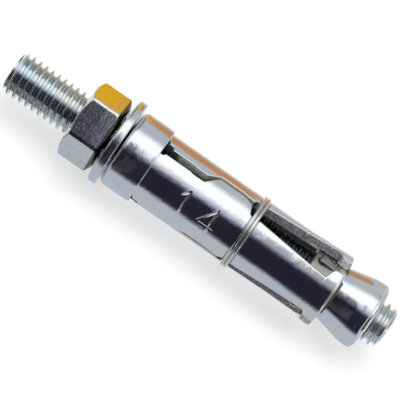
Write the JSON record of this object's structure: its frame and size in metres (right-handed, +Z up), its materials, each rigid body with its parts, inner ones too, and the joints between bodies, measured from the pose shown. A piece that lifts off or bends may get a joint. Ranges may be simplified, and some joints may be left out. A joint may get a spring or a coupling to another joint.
{
  "type": "shield anchor",
  "caption": "Projecting-stud shield anchor: a stud with nut and washer draws a keyed expander between interlocking steel segments held by a ferrule and a spring wire.",
  "frame": {"origin": "middle of the ferrule's outer face, on the stud's axis, where the face of the fixed wall lies in use", "axes": "+X along the stud towards the expander, into the hole; +Z up as it lies on its washer rim and lowest foot"},
  "size_m": [0.075, 0.0158, 0.0158],
  "materials": {
    "zinc_stud": "bright zinc plated",
    "zinc_nut": "bright zinc plated",
    "zinc_washer": "bright zinc plated",
    "zinc_ferrule": "bright zinc plated",
    "zinc_segment": "bright zinc plated",
    "zinc_expander": "bright zinc plated",
    "spring_wire": "bright spring wire"
  },
  "bodies": {
    "shield": {"ferrule": "zinc_ferrule", "wire_band": "spring_wire"},
    "washer": {"washer": "zinc_washer"},
    "nut": {"hex_nut": "zinc_nut"},
    "stud": {"stud": "zinc_stud", "expander": "zinc_expander"},
    "segment_1": {"segment_1": "zinc_segment"},
    "segment_2": {"segment_2": "zinc_segment"},
    "segment_3": {"segment_3": "zinc_segment"}
  },
  "joints": [
    {"name": "washer_slide", "type": "slide", "parent": "shield", "child": "washer", "axis": [-1, 0, 0], "range_m": [0, 0.0125]},
    {"name": "nut_turn", "type": "hinge", "parent": "washer", "child": "nut", "pos_m": [-0.0055, 0, 0], "axis": [1, 0, 0], "range_deg": [0, 990.1]},
    {"name": "stud_draw", "type": "slide", "parent": "shield", "child": "stud", "axis": [-1, 0, 0], "range_m": [0, 0.00344]},
    {"name": "segment_1_spread", "type": "hinge", "parent": "shield", "child": "segment_1", "pos_m": [0.0053, 0.00559, 0.00323], "axis": [0, -0.5, 0.866], "range_deg": [0, 1.68], "deforming": ["wire_band"]},
    {"name": "segment_2_spread", "type": "hinge", "parent": "shield", "child": "segment_2", "pos_m": [0.0053, -0.00559, 0.00323], "axis": [0, -0.5, -0.866], "range_deg": [0, 1.68], "deforming": ["wire_band"]},
    {"name": "segment_3_spread", "type": "hinge", "parent": "shield", "child": "segment_3", "pos_m": [0.0053, 0, -0.00645], "axis": [0, 1, 0], "range_deg": [0, 1.68], "deforming": ["wire_band"]}
  ],
  "couplings": [
    {"joint": "nut_turn", "follows": "stud_draw", "rad_per_m": 5026.5},
    {"joint": "segment_1_spread", "follows": "stud_draw", "rad_per_m": 8.4448},
    {"joint": "segment_2_spread", "follows": "stud_draw", "rad_per_m": 8.4448},
    {"joint": "segment_3_spread", "follows": "stud_draw", "rad_per_m": 8.4448}
  ]
}
